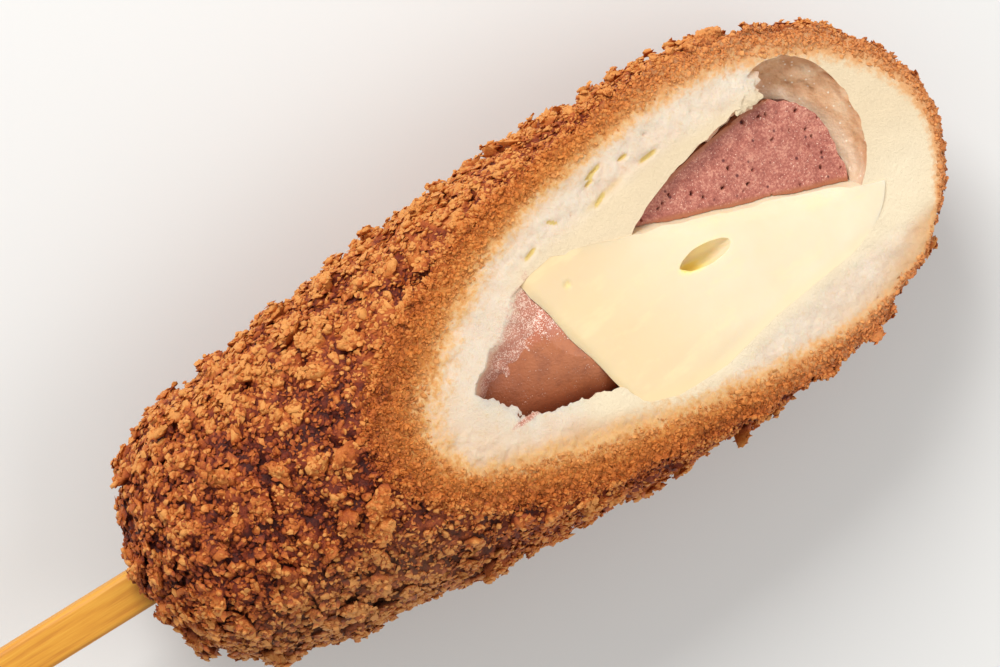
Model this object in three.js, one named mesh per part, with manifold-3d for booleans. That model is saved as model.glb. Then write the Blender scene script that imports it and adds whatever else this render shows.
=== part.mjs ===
// A breaded corn dog on a flat wooden stick, cut open along a slant.
// Units are millimetres. The food lies on its uncut back with the cut face up (+Z),
// its cut tip towards +X and its stick towards -X. The origin is the middle of the
// small flat spot that it rests on.
import * as THREE from 'three';
import { mergeVertices } from 'three/addons/utils/BufferGeometryUtils.js';
import Module from 'manifold-3d';

const wasm = await Module();
wasm.setup();

// ---- Driving dimensions -------------------------------------------------------------
// Local frame of the food: X from its base end to its tip, Y and Z across it, axis at 0.
const BODY_LENGTH = 133;
const BODY_RADIUS = 25.9;          // at the widest place, over the crumbs
const WIDEST_AT = 76;
const TAPER = 0.0016;              // radius lost per square millimetre towards the base
const BASE_CAP = 15;               // length of the rounded base end
const TIP_CAP = 40;                // length of the rounded tip
const CRUMB_STAND = 0.9;           // how far loose crumbs stand over the mean crust
const CRAG = 1.0;                  // depth of the crust's own relief
const CRAG_SIZE = 3.1;
const GAP = 0.3;                   // clearance between touching pieces

const CUT_START = new THREE.Vector3(46, 0, 20.8);   // where the slanting cut leaves the back
const CUT_SLOPE = 0.33;                             // drop of the cut per millimetre of X
const CUT_ROUGHNESS = 0.22;
const CUT_LENGTH = 120;
const CUT_WIDTH = 64;

const REST_TILT = THREE.MathUtils.degToRad(2.8);    // the tapered base end sinks by this much
const REST_FLAT = 0.35;                             // how deep the resting crust is flattened
const REST_FADE = 0.55;                             // half angle, in radians, of calmer crust

const FLAKE_COUNT = 150;
const FLAKE_CLEAR = 0.4;           // flake centres keep this far below the cut
const SPREAD_ALONG = 0.754878;     // even steps along and around, which never line up
const SPREAD_AROUND = 0.569840;
const SEED = 5742;

const SAUSAGE_RADIUS = 12.2;
const LOWER_SAUSAGE = { start: 13, end: 78, startY: 0.5, endY: 1.5, startZ: 0, endZ: 1.8 };
const UPPER_SAUSAGE = { start: 76, end: 116.3, y: -0.3, z: -3, recess: 2.2 };
const SAUSAGE_CAP = 9;             // length of a sausage's rounded end

// The cheese meets the lower sausage at a plane across the food, skewed by CHEESE_SKEW,
// and the upper sausage at an oblique plane through UPPER_SEAM.
const CHEESE_FROM = 69.4;
const CHEESE_SKEW = 0.22;
const CHEESE_PROUD = 0.15;         // the firm cheese stands this much over the cut dough
const UPPER_SEAM = new THREE.Vector3(87, 6.3, 4.8);
const UPPER_SEAM_NORMAL = new THREE.Vector3(1, 2.06, 0.6).normalize();

// The filling's hollow in the dough: centre Y and Z and radius at some stations along X.
const CORE_STATIONS = [
  { x: 54, y: 0.0, z: 5.1, r: 13.0 },
  { x: 69, y: -0.5, z: 4.7, r: 13.4 },
  { x: 78, y: -2.0, z: 4.2, r: 14.2 },
  { x: 86, y: -1.6, z: 3.8, r: 14.2 },
  { x: 95, y: -0.4, z: 2.5, r: 13.4 },
  { x: 104, y: -0.2, z: 0.0, r: 12.8 },
  { x: 112, y: 0.0, z: -2.5, r: 12.4 },
];
const CORE_START = 49;
const CORE_END = 120;
const CORE_START_CAP = 6;
const CORE_END_CAP = 12;

const BOWL_CENTRE = new THREE.Vector3(111.4, 5.0, -1.5);   // the wide steam pocket at the tip
const BOWL_RADII = new THREE.Vector3(9.6, 11.6, 5.6);

const FLAP_CENTRE = new THREE.Vector3(107.2, 14.6, -0.5);   // torn tongue of dough over the bowl
const FLAP_RADII = new THREE.Vector3(3.2, 2.6, 0.8);

const HOLLOW_CENTRE = new THREE.Vector3(90.6, -1.1, 5.6);  // long hollow in the cheese
const HOLLOW_RADII = new THREE.Vector3(5.4, 1.5, 2.6);
const HOLLOW_TURN = -0.1;

const STICK_WIDTH = 5.9;
const STICK_THICKNESS = 4;
const STICK_ROUNDING = 0.9;
const STICK_INSIDE = 62;
const STICK_OUTSIDE = 95;

const SEGMENTS = { around: 50, along: 50, filling: 24 };

const COLOURS = {
  breaded_dough: 0xb2702f,
  cheese: 0xfdeecd,
  sausage_lower: 0xa86447,
  sausage_upper: 0xc67b6a,
  stick: 0xe4aa55,
};

// ---- Seeded draws and smooth noise ----------------------------------------------------
function makeDraw(seed) {
  let state = seed;
  return (low = 0, high = 1) => {
    state = (Math.imul(state, 1664525) + 1013904223) >>> 0;
    return low + (high - low) * (state / 4294967296);
  };
}

function latticeValue(i, j, k) {
  const wave = Math.sin(i * 127.1 + j * 311.7 + k * 74.7) * 43758.5453;
  return wave - Math.floor(wave);
}

// Smooth noise between -1 and 1.
function noise(x, y, z) {
  const cell = [Math.floor(x), Math.floor(y), Math.floor(z)];
  const [u, v, w] = [x - cell[0], y - cell[1], z - cell[2]].map((t) => t * t * (3 - 2 * t));
  let total = 0;
  for (let corner = 0; corner < 8; corner += 1) {
    const [di, dj, dk] = [corner & 1, (corner >> 1) & 1, (corner >> 2) & 1];
    const weight = (di ? u : 1 - u) * (dj ? v : 1 - v) * (dk ? w : 1 - w);
    total += weight * latticeValue(cell[0] + di, cell[1] + dj, cell[2] + dk);
  }
  return 2 * total - 1;
}

// ---- Solids -----------------------------------------------------------------------------
function toSolid(geometry) {
  const bare = geometry.clone();
  bare.deleteAttribute('normal');
  bare.deleteAttribute('uv');
  const merged = mergeVertices(bare, 1e-4);
  return new wasm.Manifold(new wasm.Mesh({
    numProp: 3,
    vertProperties: new Float32Array(merged.attributes.position.array),
    triVerts: new Uint32Array(merged.index.array),
  }));
}

function toGeometry(solid) {
  const mesh = solid.getMesh();
  const geometry = new THREE.BufferGeometry();
  geometry.setAttribute('position', new THREE.BufferAttribute(mesh.vertProperties, 3));
  geometry.setIndex(new THREE.BufferAttribute(mesh.triVerts, 1));
  geometry.computeVertexNormals();
  return geometry;
}

// The largest piece of a solid: small scraps that a cut leaves are dropped.
function largestPiece(solid) {
  const pieces = solid.decompose();
  return pieces.reduce((best, piece) => (piece.volume() > best.volume() ? piece : best));
}

// A closed round form along X. shape(t) gives x, centre y and z, and radius for t in 0..1,
// and relief(point, t) moves a point along the outward direction.
function roundForm(shape, around, along, relief = () => 0) {
  const geometry = new THREE.SphereGeometry(1, around, along);
  const position = geometry.attributes.position;
  const unit = new THREE.Vector3();
  for (let i = 0; i < position.count; i += 1) {
    unit.fromBufferAttribute(position, i);
    const t = Math.acos(THREE.MathUtils.clamp(unit.y, -1, 1)) / Math.PI;
    const { x, y, z, r } = shape(1 - t);
    const ring = Math.hypot(unit.x, unit.z);
    const [sideY, sideZ] = ring > 1e-6 ? [unit.z / ring, unit.x / ring] : [0, 0];
    const point = new THREE.Vector3(x, y + r * sideY, z + r * sideZ);
    const out = new THREE.Vector3(0, sideY, sideZ);
    if (ring <= 1e-6) {
      out.set(unit.y, 0, 0);
    }
    point.addScaledVector(out, relief(point, sideZ));
    position.setXYZ(i, point.x, point.y, point.z);
  }
  return geometry;
}

function capFactor(distance, length) {
  if (distance >= length) {
    return 1;
  }
  return Math.sqrt(Math.max(0, 1 - ((length - distance) / length) ** 2));
}

// ---- The outer form -----------------------------------------------------------------------
function bodyRadius(x) {
  const barrel = BODY_RADIUS - TAPER * Math.max(0, WIDEST_AT - x) ** 2;
  return barrel * capFactor(x, BASE_CAP) * capFactor(BODY_LENGTH - x, TIP_CAP);
}

// Stations along X that are evenly spaced along the outline, so that cells stay even.
function evenStations(radiusAt, start, end, steps = 600) {
  const lengths = [0];
  for (let i = 1; i <= steps; i += 1) {
    const [x0, x1] = [i - 1, i].map((n) => start + ((end - start) * (1 - Math.cos(Math.PI * n / steps))) / 2);
    lengths.push(lengths[i - 1] + Math.hypot(x1 - x0, radiusAt(x1) - radiusAt(x0)));
  }
  return (t) => {
    const target = t * lengths[steps];
    let i = lengths.findIndex((length) => length >= target);
    i = Math.max(1, i);
    const part = (target - lengths[i - 1]) / (lengths[i] - lengths[i - 1]);
    return start + ((end - start) * (1 - Math.cos(Math.PI * (i - 1 + part) / steps))) / 2;
  };
}

const stationAt = evenStations(bodyRadius, 0, BODY_LENGTH);

function cragHeight(point, sideZ) {
  const [x, y, z] = [point.x, point.y, point.z].map((value) => value / CRAG_SIZE);
  const relief = 0.65 * noise(x, y, z) + 0.35 * noise(2.1 * x + 9, 2.1 * y, 2.1 * z);
  const calm = THREE.MathUtils.smoothstep(Math.acos(THREE.MathUtils.clamp(-sideZ, -1, 1)), 0, REST_FADE);
  return CRAG * relief * calm - CRUMB_STAND;
}

function crustForm() {
  const shape = (t) => {
    const x = stationAt(t);
    return { x, y: 0, z: 0, r: bodyRadius(x) };
  };
  return roundForm(shape, SEGMENTS.around, SEGMENTS.along, cragHeight);
}

function cutHeight(x) {
  return CUT_START.z - CUT_SLOPE * (x - CUT_START.x);
}

// One breadcrumb: a small bent shard, half sunk in the crust.
function flakeForm(draw, x, angle) {
  const geometry = mergeVertices(stripped(new THREE.OctahedronGeometry(1, 0)), 1e-4);
  const size = new THREE.Vector3(draw(1.8, 3.0), draw(1.2, 2.0), draw(0.8, 1.4));
  const position = geometry.attributes.position;
  for (let i = 0; i < position.count; i += 1) {
    const swell = draw(0.72, 1.25);
    position.setXYZ(i, position.getX(i) * size.x * swell, position.getY(i) * size.y * swell,
      position.getZ(i) * size.z * swell);
  }
  geometry.rotateZ(draw(0, 2 * Math.PI));
  geometry.rotateX(draw(-0.7, 0.7));
  geometry.rotateY(draw(-0.7, 0.7));
  // Local Z now points out of the crust; it is turned to the outline's normal at x.
  const slope = Math.atan2(bodyRadius(x + 0.2) - bodyRadius(x - 0.2), 0.4);
  geometry.rotateY(-slope);
  geometry.translate(0, 0, bodyRadius(x) - CRUMB_STAND + draw(0.1, 0.5));
  geometry.rotateX(angle);
  geometry.translate(x, 0, 0);
  return geometry;
}

function stripped(geometry) {
  geometry.deleteAttribute('normal');
  geometry.deleteAttribute('uv');
  return geometry;
}

// Flakes are spread evenly by two irrational steps with a seeded shake. The ends get fewer
// per length because they are narrower, and the resting side and the cut get none.
function flakeSolids() {
  const draw = makeDraw(SEED);
  const solids = [];
  for (let i = 0; solids.length < FLAKE_COUNT && i < 4 * FLAKE_COUNT; i += 1) {
    const t = (i * SPREAD_ALONG + draw(0, 0.05)) % 1;
    const x = stationAt(THREE.MathUtils.lerp(0.06, 0.95, t));
    const angle = 2 * Math.PI * (i * SPREAD_AROUND) + draw(-0.2, 0.2);
    const keep = draw();
    const radius = bodyRadius(x);
    const height = radius * Math.cos(angle);
    const clearOfCut = height < cutHeight(x) - FLAKE_CLEAR;
    const clearOfRest = Math.cos(angle) > -Math.cos(REST_FADE);
    if (clearOfCut && clearOfRest && keep < radius / BODY_RADIUS) {
      solids.push(toSolid(flakeForm(draw, x, angle)));
    }
  }
  return solids;
}

// ---- Cutting forms --------------------------------------------------------------------------
// Everything above the slanting cut, with a slightly torn underside.
function aboveCut(offset, roughness, cellsX, cellsY) {
  const height = 60;
  const box = new THREE.BoxGeometry(CUT_LENGTH, CUT_WIDTH, height, cellsX, cellsY, 1);
  const position = box.attributes.position;
  for (let i = 0; i < position.count; i += 1) {
    if (position.getZ(i) < 0) {
      const [x, y] = [position.getX(i), position.getY(i)];
      const torn = 0.6 * noise(x / 4.1, y / 4.1, 3.5) + 0.4 * noise(x / 1.9, y / 1.9, 8.5);
      position.setZ(i, position.getZ(i) + roughness * torn);
    }
  }
  box.translate(CUT_LENGTH / 2 - 14, 0, height / 2 + offset);
  box.rotateY(Math.atan(CUT_SLOPE));
  box.translate(CUT_START.x, 0, CUT_START.z);
  return toSolid(box);
}

// A half space as a large block: everything on the far side of a plane.
function beyondPlane(point, normal, size = 300) {
  const block = new THREE.BoxGeometry(size, size, size);
  block.translate(0, 0, size / 2);
  block.applyQuaternion(new THREE.Quaternion().setFromUnitVectors(new THREE.Vector3(0, 0, 1), normal));
  block.translate(point.x, point.y, point.z);
  return toSolid(block);
}

function ellipsoid(centre, radii, around, along, turn = 0, tilt = 0) {
  const form = new THREE.SphereGeometry(1, around, along);
  form.scale(radii.x, radii.y, radii.z);
  form.rotateY(tilt);
  form.rotateZ(turn);
  form.translate(centre.x, centre.y, centre.z);
  return toSolid(form);
}

// ---- Filling forms ----------------------------------------------------------------------------
function sausageForm(start, end, centreAt, grow, startCap, endCap) {
  const shape = (t) => {
    const x = start - grow + (end - start + 2 * grow) * (1 - Math.cos(Math.PI * t)) / 2;
    const centre = centreAt(x);
    const cap = capFactor(x - start + grow, startCap) * capFactor(end + grow - x, endCap);
    return { x, y: centre.y, z: centre.z, r: (SAUSAGE_RADIUS + grow) * cap };
  };
  return toSolid(roundForm(shape, SEGMENTS.filling, 14));
}

function lowerSausageForm(grow) {
  const { start, end, startY, endY, startZ, endZ } = LOWER_SAUSAGE;
  const centreAt = (x) => {
    const part = THREE.MathUtils.clamp((x - start) / (CHEESE_FROM - start), 0, 1);
    return { y: THREE.MathUtils.lerp(startY, endY, part), z: THREE.MathUtils.lerp(startZ, endZ, part) };
  };
  return sausageForm(start, end, centreAt, grow, SAUSAGE_CAP, 1);
}

function upperSausageForm(grow) {
  const { start, end, y, z } = UPPER_SAUSAGE;
  return sausageForm(start, end, () => ({ y, z }), grow, 1, SAUSAGE_CAP);
}

function coreForm(grow) {
  const stations = CORE_STATIONS;
  const shape = (t) => {
    const x = CORE_START - grow + (CORE_END - CORE_START + 2 * grow) * (1 - Math.cos(Math.PI * t)) / 2;
    let i = stations.findIndex((station) => station.x >= x);
    i = i < 0 ? stations.length - 1 : Math.max(1, i);
    const [from, to] = [stations[i - 1], stations[i]];
    const part = THREE.MathUtils.clamp((x - from.x) / (to.x - from.x), 0, 1);
    const cap = capFactor(x - CORE_START + grow, CORE_START_CAP) * capFactor(CORE_END + grow - x, CORE_END_CAP);
    return {
      x,
      y: THREE.MathUtils.lerp(from.y, to.y, part),
      z: THREE.MathUtils.lerp(from.z, to.z, part),
      r: (THREE.MathUtils.lerp(from.r, to.r, part) + grow) * cap,
    };
  };
  return toSolid(roundForm(shape, SEGMENTS.filling + 6, 18));
}

const seamNormal = new THREE.Vector3(1, CHEESE_SKEW, 0).normalize();
const seamPoint = new THREE.Vector3(CHEESE_FROM, 0, 0);

function pastLowerSeam(offset) {
  return beyondPlane(seamPoint.clone().addScaledVector(seamNormal, offset), seamNormal);
}

function pastUpperSeam(offset) {
  return beyondPlane(UPPER_SEAM.clone().addScaledVector(UPPER_SEAM_NORMAL, offset), UPPER_SEAM_NORMAL);
}

// The flat wooden stick with slightly rounded edges, blunt at both ends.
function stickForm(grow) {
  const [halfWidth, halfThickness] = [STICK_WIDTH / 2 + grow, STICK_THICKNESS / 2 + grow];
  const rounding = STICK_ROUNDING + grow;
  const section = new THREE.Shape();
  section.moveTo(-halfThickness + rounding, -halfWidth);
  const corners = [[1, -1, -90], [1, 1, 0], [-1, 1, 90], [-1, -1, 180]];
  for (const [sideX, sideY, from] of corners) {
    section.absarc(sideX * (halfThickness - rounding), sideY * (halfWidth - rounding), rounding,
      THREE.MathUtils.degToRad(from), THREE.MathUtils.degToRad(from + 90));
  }
  const depth = STICK_INSIDE + STICK_OUTSIDE + grow;
  const form = new THREE.ExtrudeGeometry(section, { depth, bevelEnabled: false, curveSegments: 4 });
  form.rotateY(Math.PI / 2);
  form.translate(-STICK_OUTSIDE, 0, 0);
  return toSolid(form);
}

// ---- The pieces ---------------------------------------------------------------------------------
function restBlock() {
  const normal = new THREE.Vector3(Math.sin(REST_TILT), 0, Math.cos(REST_TILT)).negate();
  return beyondPlane(restPoint(), normal);
}

// The point of the crust's underside that the tilted food rests on.
function restPoint() {
  const x = WIDEST_AT - Math.tan(REST_TILT) / (2 * TAPER);
  const depth = bodyRadius(x) - CRUMB_STAND - REST_FLAT;
  return new THREE.Vector3(x, 0, -depth);
}

function breadedDough() {
  const crust = wasm.Manifold.union([toSolid(crustForm()), ...flakeSolids()]);
  const core = coreForm(GAP).subtract(pastUpperSeam(0));
  const bowl = ellipsoid(BOWL_CENTRE, BOWL_RADII, 24, 14);
  const hollows = wasm.Manifold.union([
    core, lowerSausageForm(GAP), upperSausageForm(GAP), bowl, stickForm(GAP),
    aboveCut(0, CUT_ROUGHNESS, 36, 20), restBlock(),
  ]);
  const flap = ellipsoid(FLAP_CENTRE, FLAP_RADII, 12, 6).subtract(aboveCut(0, 0, 1, 1));
  return largestPiece(crust.subtract(hollows).add(flap));
}

function lowerSausage() {
  return largestPiece(lowerSausageForm(0)
    .subtract(pastLowerSeam(-GAP))
    .subtract(aboveCut(0, 0, 1, 1))
    .subtract(stickForm(GAP)));
}

function upperSausage() {
  const recess = UPPER_SAUSAGE.recess;
  return largestPiece(upperSausageForm(0)
    .intersect(pastUpperSeam(0))
    .subtract(aboveCut(-recess, CUT_ROUGHNESS, 40, 22)));
}

function cheese() {
  const hollow = ellipsoid(HOLLOW_CENTRE, HOLLOW_RADII, 14, 8, HOLLOW_TURN, Math.atan(CUT_SLOPE) - 0.12);
  return largestPiece(coreForm(0)
    .intersect(pastLowerSeam(0))
    .subtract(pastUpperSeam(-GAP))
    .subtract(aboveCut(CHEESE_PROUD, 0, 1, 1))
    .subtract(hollow));
}

const pieces = {
  breaded_dough: breadedDough(),
  cheese: cheese(),
  sausage_lower: lowerSausage(),
  sausage_upper: upperSausage(),
  stick: stickForm(0),
};

// ---- The scene graph --------------------------------------------------------------------------------
const food = new THREE.Group();
for (const [name, solid] of Object.entries(pieces)) {
  const material = new THREE.MeshStandardMaterial({ color: COLOURS[name], roughness: 0.7, metalness: 0 });
  const mesh = new THREE.Mesh(toGeometry(solid), material);
  mesh.name = name;
  food.add(mesh);
}

// The tapered food is tipped so that its underside lies flat, with the rest point at the origin.
food.rotation.y = -REST_TILT;
food.position.copy(restPoint().applyEuler(food.rotation).negate());

const cornDog = new THREE.Group();
cornDog.add(food);
cornDog.updateMatrixWorld(true);

export default cornDog;
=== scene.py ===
"""A breaded corn dog on a flat wooden stick, cut open along a slant over its filling.

Shapes are worked out in millimetres in the food's own local frame: X from its base end to
its tip, Y and Z across it, with the axis at 0. to_row() then lays it down as the frame has
it, in metres, resting on its uncut back.
"""

import math

import bmesh
import bpy
import numpy as np
from mathutils import Matrix, Vector
from mathutils.bvhtree import BVHTree


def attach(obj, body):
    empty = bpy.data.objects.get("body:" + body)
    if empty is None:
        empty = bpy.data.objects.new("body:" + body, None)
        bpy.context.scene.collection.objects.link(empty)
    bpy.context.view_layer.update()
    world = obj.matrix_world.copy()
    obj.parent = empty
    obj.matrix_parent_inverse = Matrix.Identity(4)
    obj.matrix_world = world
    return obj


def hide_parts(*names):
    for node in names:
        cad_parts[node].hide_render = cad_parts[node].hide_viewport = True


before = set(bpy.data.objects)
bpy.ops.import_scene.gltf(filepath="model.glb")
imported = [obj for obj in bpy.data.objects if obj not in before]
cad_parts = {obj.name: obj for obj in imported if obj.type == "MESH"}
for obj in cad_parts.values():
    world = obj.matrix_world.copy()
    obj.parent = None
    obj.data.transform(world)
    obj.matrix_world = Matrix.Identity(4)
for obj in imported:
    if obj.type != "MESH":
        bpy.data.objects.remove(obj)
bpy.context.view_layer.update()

# ---- Driving dimensions, as in the solids (mm) ----
BODY_LENGTH = 133.0
BODY_RADIUS = 25.9
WIDEST_AT = 76.0
TAPER = 0.0016
BASE_CAP = 15.0
TIP_CAP = 40.0
CRUMB_STAND = 0.9
CRAG = 1.0
CRAG_SIZE = 3.1
GAP = 0.3

CUT_START = (46.0, 0.0, 20.8)
CUT_SLOPE = 0.33
CUT_ROUGHNESS = 0.22
CUT_ANGLE = math.atan(CUT_SLOPE)
CUT_BEFORE, CUT_LENGTH, CUT_WIDTH = -14.0, 120.0, 64.0
CUT_MIDDLE, CUT_HALF_LENGTH, CUT_HALF_WIDTH = 88.0, 42.0, 23.0
OUT_OF_CUT = np.array([math.sin(CUT_ANGLE), 0, math.cos(CUT_ANGLE)])

REST_TILT = math.radians(2.8)
REST_FLAT = 0.35
REST_FADE = 0.55

FLAKE_COUNT = 150
FLAKE_CLEAR = 0.4
SPREAD_ALONG = 0.754878
SPREAD_AROUND = 0.569840
SEED = 5742

SAUSAGE_RADIUS = 12.2
SAUSAGE_CAP = 9.0
LOWER_START, LOWER_END = 13.0, 78.0
LOWER_Y, LOWER_Z = (0.5, 1.5), (0.0, 1.8)
UPPER_START, UPPER_END = 76.0, 116.3
UPPER_Y, UPPER_Z = -0.3, -3.0
UPPER_RECESS = 2.2

CHEESE_FROM = 69.4
CHEESE_SKEW = 0.22
CHEESE_PROUD = 0.15
LOWER_SEAM_NORMAL = np.array(Vector((1.0, CHEESE_SKEW, 0.0)).normalized())
UPPER_SEAM = np.array(Vector((87.0, 6.3, 4.8)))
UPPER_SEAM_NORMAL = np.array(Vector((1.0, 2.06, 0.6)).normalized())

CORE_X = (54.0, 69.0, 78.0, 86.0, 95.0, 104.0, 112.0)
CORE_Y = (0.0, -0.5, -2.0, -1.6, -0.4, -0.2, 0.0)
CORE_Z = (5.1, 4.7, 4.2, 3.8, 2.5, 0.0, -2.5)
CORE_R = (13.0, 13.4, 14.2, 14.2, 13.4, 12.8, 12.4)
CORE_START, CORE_END = 49.0, 120.0
CORE_START_CAP, CORE_END_CAP = 6.0, 12.0

BOWL_CENTRE = (111.4, 5.0, -1.5)
BOWL_RADII = (9.6, 11.6, 5.6)
HOLLOW_CENTRE = (90.6, -1.1, 5.6)
HOLLOW_RADII = (5.4, 1.5, 2.6)
HOLLOW_TURN = -0.1

STICK_WIDTH = 5.9
STICK_THICKNESS = 4.0
STICK_ROUNDING = 0.9
STICK_INSIDE = 62.0
STICK_OUTSIDE = 95.0

FLAP_CENTRE = (106.9, 15.0, 0.0)
FLAP_RADII = (3.4, 2.9, 1.0)

# Slits and pits in the cut face: x, y, half length, half width, turn from X, depth.
PORES = (
    (83.8, 17.0, 1.5, 0.28, 0.23, 0.6),
    (82.6, 16.1, 0.9, 0.26, 0.30, 0.5),
    (88.4, 16.4, 0.8, 0.28, 0.10, 0.5),
    (83.5, 13.6, 4.6, 0.75, 0.17, 0.2),
    (82.7, 13.3, 1.3, 0.34, 0.40, 0.5),
    (75.4, 14.4, 0.9, 0.28, -0.70, 0.5),
    (70.6, 12.5, 1.2, 0.30, 0.30, 0.5),
    (91.5, 14.6, 1.6, 0.32, 0.05, 0.5),
    (72.7, 6.2, 0.45, 0.40, 0.00, 0.5),
)

# How deep the browned band reaches under the crumbs, by the direction from the cut's middle
# (degrees from the tip, towards +Y).
RIM_TURNS = (0, 12, 45, 90, 115, 140, 160, 180, 198, 215, 245, 285, 312)
RIM_WIDTHS = (3.6, 4.2, 5.0, 4.6, 3.9, 4.8, 4.6, 3.4, 2.7, 4.5, 5.7, 4.3, 0.9)

# Where torn dough still sticks to the lower sausage: a point of the window's far edge, that
# edge's direction, and how far in it reaches. Then a torn strip of sausage on the near edge.
SMEAR_FROM = (55.1, 1.7)
SMEAR_ALONG = (0.858, 0.514)
SMEAR_WIDTH = 6.4
STRIP_AT = (58.8, -5.9)
STRIP_HALF = (2.6, 0.45)

# The largest crumbs: half sizes, how far each of six sides swells, spin, two leans and lift.
# The first kind is the solids' own, and the second is flatter. Then how far above or below the
# mean crust a crumb can find something to lie on.
SWELLS = 6
FLAKE_RANGES = ((1.8, 3.0), (1.2, 2.0), (0.8, 1.4), *[(0.72, 1.25)] * SWELLS,
                (0, 2 * math.pi), (-0.7, 0.7), (-0.7, 0.7), (0.1, 0.5))
FLAT_RANGES = ((1.1, 2.2), (0.8, 1.6), (0.4, 0.8), *[(0.7, 1.3)] * SWELLS,
               (0, 6.28), (-0.5, 0.5), (-0.5, 0.5), (0.0, 0.4))
FLAT_COUNT = 60
REACH = 3.0

# Crumbs all over the crust: name, places tried, most crumbs kept, seed, smallest and largest
# half sizes, form, tones and lean. Later crumbs lie on BEDDING and never on TOPPING.
BEDDING = (
    ("crumbs_medium", 5000, 2000, 1000, (0.75, 0.65, 0.4), (1.7, 1.35, 0.75), "shards", (0.35, 0.7), 0.6),
    ("crumbs_bed", 44000, 15500, 40000, (0.4, 0.32, 0.2), (0.95, 0.75, 0.36), "chips", (0.1, 0.5), 0.4),
)
TOPPING = (
    ("crumbs_fine", 14000, 5500, 9000, (0.4, 0.34, 0.26), (0.85, 0.65, 0.45), "grains", (0.25, 0.75), 0.6),
    ("crumbs_finest", 44000, 17000, 120000, (0.28, 0.22, 0.18), (0.7, 0.5, 0.3), "chips", (0.3, 0.65), 0.5),
)
# Crumbs along the rim of the cut: name, places tried, seed, smallest and largest, and form.
RIM_CRUMBS = (
    ("crumbs_rim", 16000, 7, (0.26, 0.22, 0.2), (0.7, 0.6, 0.45), "grains"),
    ("crumbs_rim_fine", 90000, 8, (0.16, 0.14, 0.12), (0.45, 0.36, 0.26), "chips"),
)

# Mesh sizes of the finest surfaces, the crust's outline from end to end and the steps it is
# measured in, and a distance that is well outside the food.
CRUST_CELL = 0.62
CUT_CELL = 0.33
OUTLINE_LENGTH = 162.0
OUTLINE_STEPS = 600
SLOPE_STEP = 0.2
BEYOND = 150.0

# The picture, and the soft lights: their direction by the picture's right, up and towards the
# camera, their distance and size in metres, and their power in watts.
VIEW_ROLL = math.radians(8)
VIEW_TURN = math.radians(31.75)
VIEW_DISTANCE = 650.0
VIEW_SCALE = 7.2
VIEW_OVER = (61.48, 3.65)
SENSOR = 36.0
PICTURE_WIDTH = 1000
LIGHTS = (("key", (-0.4, 0.8, 1.0), 0.9, 0.4, 6.4), ("fill", (0.9, -0.1, 0.9), 1.2, 0.8, 4.0))
SKY = 0.55

# ---- Laying the food down ----
def columns(*values):
    """Rows of coordinates, from an array or one number for each column."""
    return np.stack(np.broadcast_arrays(*values), axis=1)


def body_radius(x):
    x = np.asarray(x, float)
    barrel = BODY_RADIUS - TAPER * np.maximum(0, WIDEST_AT - x) ** 2
    return barrel * cap_factor(x, BASE_CAP) * cap_factor(BODY_LENGTH - x, TIP_CAP)


def cap_factor(distance, length):
    short = np.clip((length - distance) / length, 0, 1)
    return np.sqrt(np.maximum(0, 1 - short ** 2))


REST_X = WIDEST_AT - math.tan(REST_TILT) / (2 * TAPER)
REST_POINT = np.array([REST_X, 0, -(float(body_radius(REST_X)) - CRUMB_STAND - REST_FLAT)])
TURN = np.array([
    [math.cos(REST_TILT), 0, -math.sin(REST_TILT)],
    [0, 1, 0],
    [math.sin(REST_TILT), 0, math.cos(REST_TILT)],
])


def turned(vectors):
    return np.asarray(vectors, float) @ TURN.T


def to_row(points):
    """Local millimetres to the row frame's metres."""
    return (turned(points) - turned(REST_POINT)) * 0.001


def cut_height(x):
    return CUT_START[2] - CUT_SLOPE * (x - CUT_START[0])


# ---- Noise and seeded draws ----
class Draw:
    """The same seeded draws as the solids use, so that the largest crumbs are the same."""

    def __init__(self, seed):
        self.state = seed

    def __call__(self, low=0.0, high=1.0):
        self.state = (self.state * 1664525 + 1013904223) % 4294967296
        return low + (high - low) * (self.state / 4294967296)


def lattice(i, j, k):
    wave = np.sin(i * 127.1 + j * 311.7 + k * 74.7) * 43758.5453
    return wave - np.floor(wave)


def noise(points):
    """Smooth noise between -1 and 1 at an array of points."""
    cell = np.floor(points)
    fade = points - cell
    fade = fade * fade * (3 - 2 * fade)
    total = np.zeros(len(points))
    for corner in range(8):
        step = np.array([corner & 1, (corner >> 1) & 1, (corner >> 2) & 1])
        weight = np.prod(np.where(step, fade, 1 - fade), axis=1)
        total += weight * lattice(*(cell + step).T)
    return 2 * total - 1


def cells(points):
    """Cellular noise: the distance to the nearest seed, and that seed's own random value."""
    base = np.floor(points)
    first = np.full(len(points), 9.0)
    value = np.zeros(len(points))
    for shift in np.ndindex(3, 3, 3):
        corner = base + shift - 1
        seeds = columns(*(lattice(*(corner + offset).T) for offset in (0.0, 17.3, 41.9)))
        distance = np.linalg.norm(corner + 0.5 + 0.9 * (seeds - 0.5) - points, axis=1)
        nearer = distance < first
        value = np.where(nearer, seeds[:, 0], value)
        first = np.where(nearer, distance, first)
    return first, value


def smoothstep(values, low, high):
    part = np.clip((values - low) / (high - low), 0, 1)
    return part * part * (3 - 2 * part)


# ---- Meshes ----
def add_to_scene(name, data):
    thing = bpy.data.objects.new(name, data)
    bpy.context.collection.objects.link(thing)
    return thing


def new_mesh(name, points, faces):
    """A mesh object from local millimetre points and a list of faces."""
    mesh = bpy.data.meshes.new(name)
    mesh.from_pydata(np.asarray(points).tolist(), [], faces)
    mesh.validate()
    return add_to_scene(name, mesh)


def mesh_points(thing):
    flat = np.empty(len(thing.data.vertices) * 3)
    thing.data.vertices.foreach_get("co", flat)
    return flat.reshape(-1, 3)


def set_points(thing, points):
    thing.data.vertices.foreach_set("co", np.ascontiguousarray(points, float).ravel())
    thing.data.update()


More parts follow.
